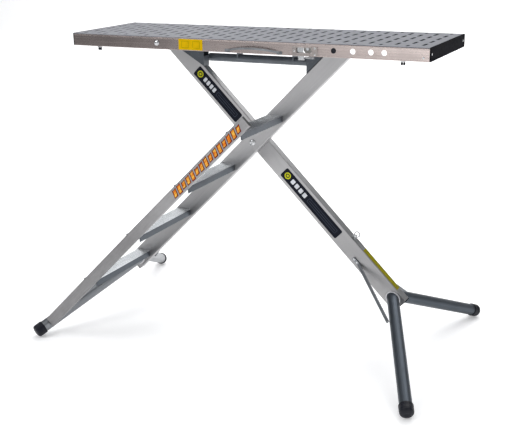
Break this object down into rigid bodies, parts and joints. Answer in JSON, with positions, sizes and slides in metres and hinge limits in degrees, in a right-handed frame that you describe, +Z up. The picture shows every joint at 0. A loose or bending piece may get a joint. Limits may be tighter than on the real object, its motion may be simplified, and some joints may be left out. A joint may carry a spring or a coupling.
{
  "type": "folding sawhorse",
  "caption": "Folding sawhorse with a long slotted platform on crossed legs; one leg carries side treads, both end in splayed rubber-capped feet.",
  "frame": {"origin": "on the floor, midway between the four feet, below the centre bolt", "axes": "+X along the platform towards the end with the row of setting holes, +Y towards the far side of the platform, +Z up"},
  "size_m": [1.3546, 0.8235, 1.013],
  "materials": {
    "deck_aluminium": "satin mill finish, slotted",
    "rail_aluminium": "drawn and polished, long fine lines",
    "beam_aluminium": "mill finish",
    "leg_aluminium": "satin extruded",
    "tread_aluminium": "ribbed, satin",
    "bright_steel": "zinc plated",
    "dark_steel": "dark grey paint, satin",
    "black_plastic": "moulded, fine grain",
    "rubber": "matt moulded",
    "grey_strap": "moulded strap",
    "nylon": "natural nylon"
  },
  "bodies": {
    "platform": {"deck_plate": "deck_aluminium", "rail_near": "rail_aluminium", "rail_far": "rail_aluminium", "end_cap_left": "black_plastic", "end_cap_right": "black_plastic", "pivot_shaft": "bright_steel", "pivot_nut": "bright_steel", "pivot_spacer_near": "dark_steel", "pivot_spacer_far": "dark_steel", "latch_plate_near": "bright_steel", "latch_spring": "bright_steel", "underdeck_tube": "dark_steel", "handle_strap": "grey_strap", "handle_clip_left": "bright_steel", "handle_clip_right": "bright_steel", "cross_beam_1": "beam_aluminium", "cross_beam_2": "beam_aluminium", "cross_beam_3": "beam_aluminium", "cross_beam_4": "beam_aluminium", "deck_rib_1": "beam_aluminium", "deck_rib_2": "beam_aluminium", "deck_rib_3": "beam_aluminium", "deck_rib_4": "beam_aluminium", "tube_hanger_1": "dark_steel", "tube_hanger_2": "dark_steel", "buffer_near_1": "rubber", "buffer_far_1": "rubber", "buffer_near_2": "rubber", "buffer_far_2": "rubber"},
    "latch": {"latch_slide": "bright_steel"},
    "prop_leg": {"prop_spine": "leg_aluminium", "prop_lug": "dark_steel", "prop_bottom_plug": "black_plastic", "prop_foot_tube_near": "leg_aluminium", "prop_foot_cap_near": "rubber", "prop_foot_tube_far": "leg_aluminium", "prop_foot_cap_far": "rubber", "prop_brace_near": "bright_steel", "prop_brace_far": "bright_steel", "centre_bolt": "bright_steel", "centre_washer": "nylon", "centre_nut": "bright_steel", "ring_bracket": "bright_steel"},
    "ladder_leg": {"ladder_spine": "leg_aluminium", "ladder_lug": "dark_steel", "ladder_bottom_plug": "black_plastic", "ladder_foot_tube_near": "leg_aluminium", "ladder_foot_cap_near": "rubber", "ladder_foot_tube_far": "leg_aluminium", "ladder_foot_cap_far": "rubber", "ladder_brace_far": "bright_steel", "ladder_stile": "leg_aluminium", "tread_1": "tread_aluminium", "tread_2": "tread_aluminium", "tread_3": "tread_aluminium", "tread_4": "tread_aluminium", "cross_pin": "bright_steel", "pin_bush_near": "nylon", "pin_bush_far": "nylon"},
    "ring": {"pull_ring": "bright_steel"}
  },
  "joints": [
    {"name": "leg_fold", "type": "hinge", "parent": "platform", "child": "prop_leg", "pos_m": [-0.25421, 0.015, 0.99274], "axis": [0, -1, 0], "range_deg": [0, 44]},
    {"name": "scissor", "type": "hinge", "parent": "prop_leg", "child": "ladder_leg", "pos_m": [0, 0, 0.665], "axis": [0, 1, 0], "range_deg": [0, 88]},
    {"name": "latch_travel", "type": "slide", "parent": "platform", "child": "latch", "axis": [-1, 0, 0], "range_m": [0, 0.014], "stiffness_N_per_m": 400},
    {"name": "ring_swing", "type": "hinge", "parent": "prop_leg", "child": "ring", "pos_m": [0.34175, 0.015, 0.37459], "axis": [0.7071, 0, -0.7071], "range_deg": [-80, 80]}
  ],
  "couplings": [
    {"joint": "scissor", "follows": "leg_fold", "ratio": 2}
  ]
}
